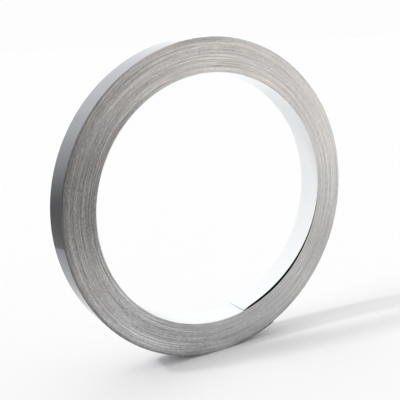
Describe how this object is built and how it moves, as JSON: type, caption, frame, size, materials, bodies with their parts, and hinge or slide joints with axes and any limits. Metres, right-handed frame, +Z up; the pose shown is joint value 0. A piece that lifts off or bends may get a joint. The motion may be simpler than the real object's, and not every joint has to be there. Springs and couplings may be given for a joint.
{
  "type": "aluminum channel letter coil",
  "caption": "Tightly wound roll of flat coated aluminium strip with an open bore, for bending the side walls of channel letters.",
  "frame": {"origin": "on the floor under the middle of the roll, which stands on its rim", "axes": "+Z up, +Y along the roll's axis"},
  "size_m": [0.446, 0.04, 0.446],
  "materials": {
    "strip": "bare slit edges on the ends, glossy grey coating on the rim face, white coating on the bore face"
  },
  "bodies": {
    "root": {"strip_coil": "strip"}
  },
  "joints": []
}
